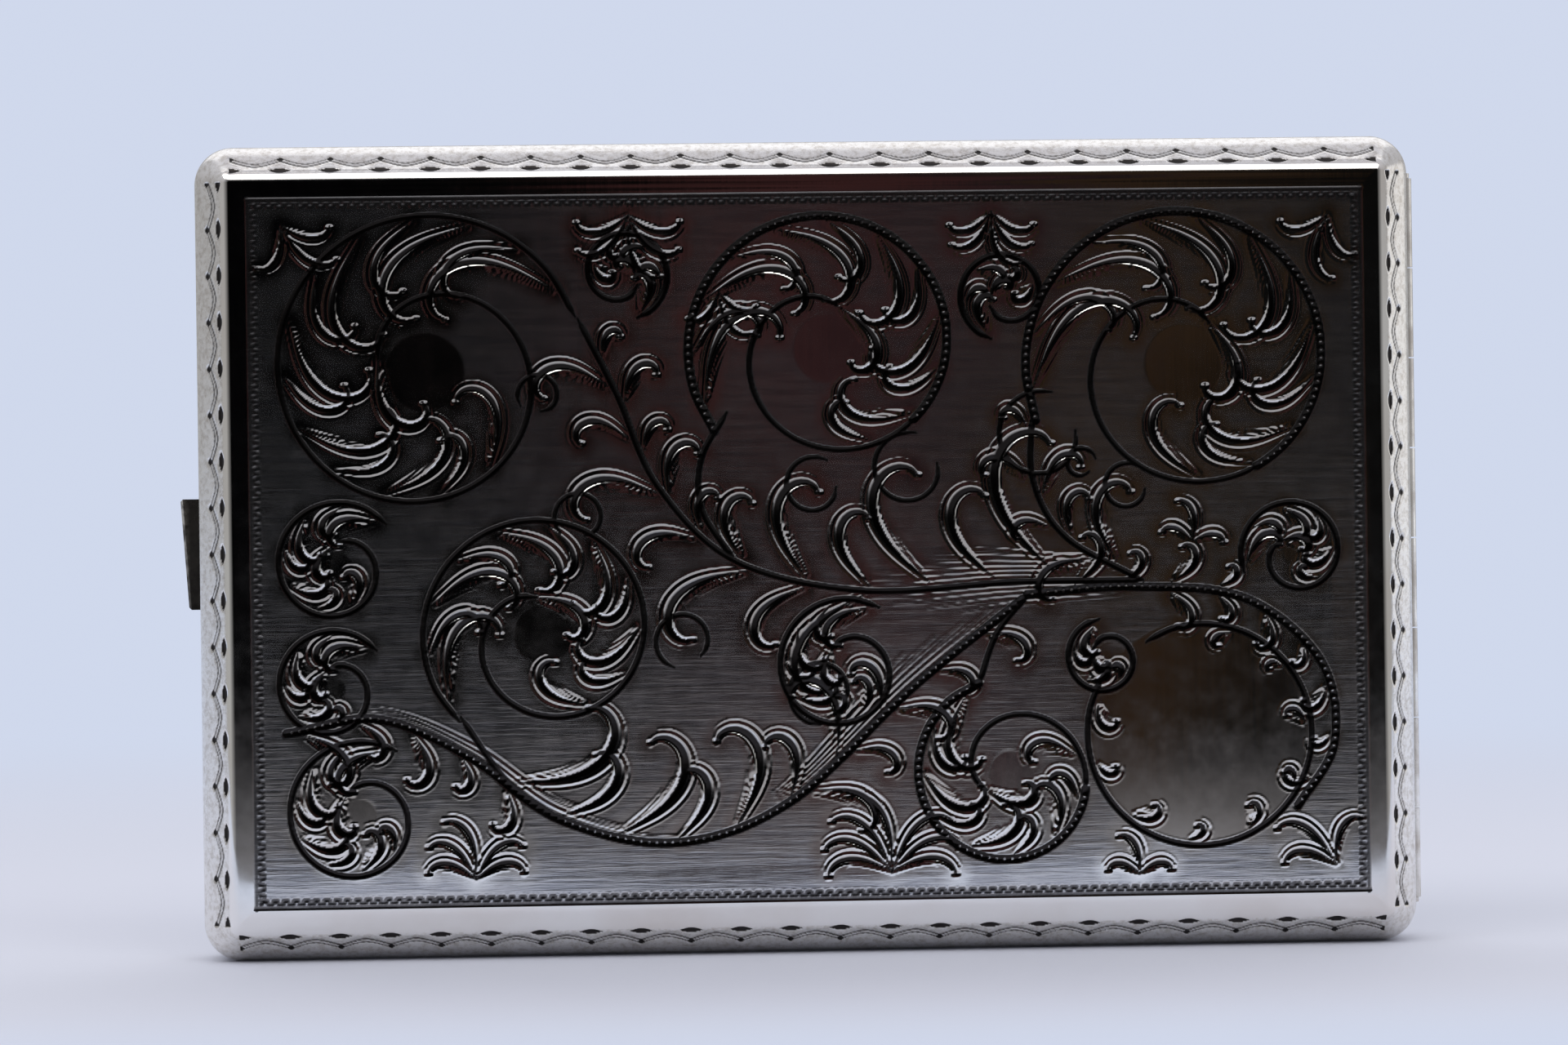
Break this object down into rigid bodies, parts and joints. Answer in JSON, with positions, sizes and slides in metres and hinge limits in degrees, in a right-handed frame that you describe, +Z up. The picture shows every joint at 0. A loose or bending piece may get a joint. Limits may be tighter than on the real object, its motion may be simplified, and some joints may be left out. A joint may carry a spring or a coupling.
{
  "type": "business card case",
  "caption": "Slim hinged pressed-metal case with engraved covers, a side thumb push and spring catch, a pinned knuckle hinge and an elastic card strap inside.",
  "frame": {"origin": "bottom centre of the closed case's bounding box, standing on its long lower edge", "axes": "+X along the case from the thumb push to the hinge, +Y from the front cover to the back cover, +Z up; the covers meet at Y = 0"},
  "size_m": [0.0986, 0.012, 0.064],
  "materials": {
    "engraved_silver": "polished and worn silver with dark tarnish in the engraving",
    "gilt_silver": "thin gilding over satin silver",
    "hinge_silver": "worn silver tube, tarnished between the knuckles",
    "push_silver": "dark tarnished silver with worn bright edges",
    "rivet_metal": "peened nickel silver",
    "spring_metal": "tempered steel strip, lightly stained",
    "elastic": "ribbed woven elastic webbing"
  },
  "bodies": {
    "back_half": {"back_shell": "engraved_silver", "back_bezel": "gilt_silver", "closing_lip_upper": "gilt_silver", "closing_lip_lower": "gilt_silver", "hinge_pin": "hinge_silver", "back_hinge_knuckle_1": "hinge_silver", "back_hinge_knuckle_2": "hinge_silver", "back_hinge_knuckle_3": "hinge_silver", "back_hinge_knuckle_4": "hinge_silver", "spring_anchor": "gilt_silver", "spring_rivets": "rivet_metal", "catch_guard": "gilt_silver", "card_strap": "elastic", "strap_clip_upper": "gilt_silver", "strap_clip_lower": "gilt_silver"},
    "front_half": {"front_shell": "engraved_silver", "front_bezel": "gilt_silver", "keeper": "gilt_silver", "front_hinge_knuckle_1": "hinge_silver", "front_hinge_knuckle_2": "hinge_silver", "front_hinge_knuckle_3": "hinge_silver", "front_hinge_knuckle_4": "hinge_silver"},
    "catch": {"catch_spring": "spring_metal", "push_piece": "push_silver", "push_rivet": "rivet_metal"}
  },
  "joints": [
    {"name": "lid", "type": "hinge", "parent": "back_half", "child": "front_half", "pos_m": [0.0485, 0, 0.032], "axis": [0, 0, 1], "range_deg": [0, 175]},
    {"name": "push", "type": "hinge", "parent": "back_half", "child": "catch", "pos_m": [-0.0456, 0.0025, 0.02], "axis": [0, 1, 0], "range_deg": [0, 3.8], "stiffness_Nm_per_rad": 0.7, "deforming": ["catch_spring"]}
  ]
}
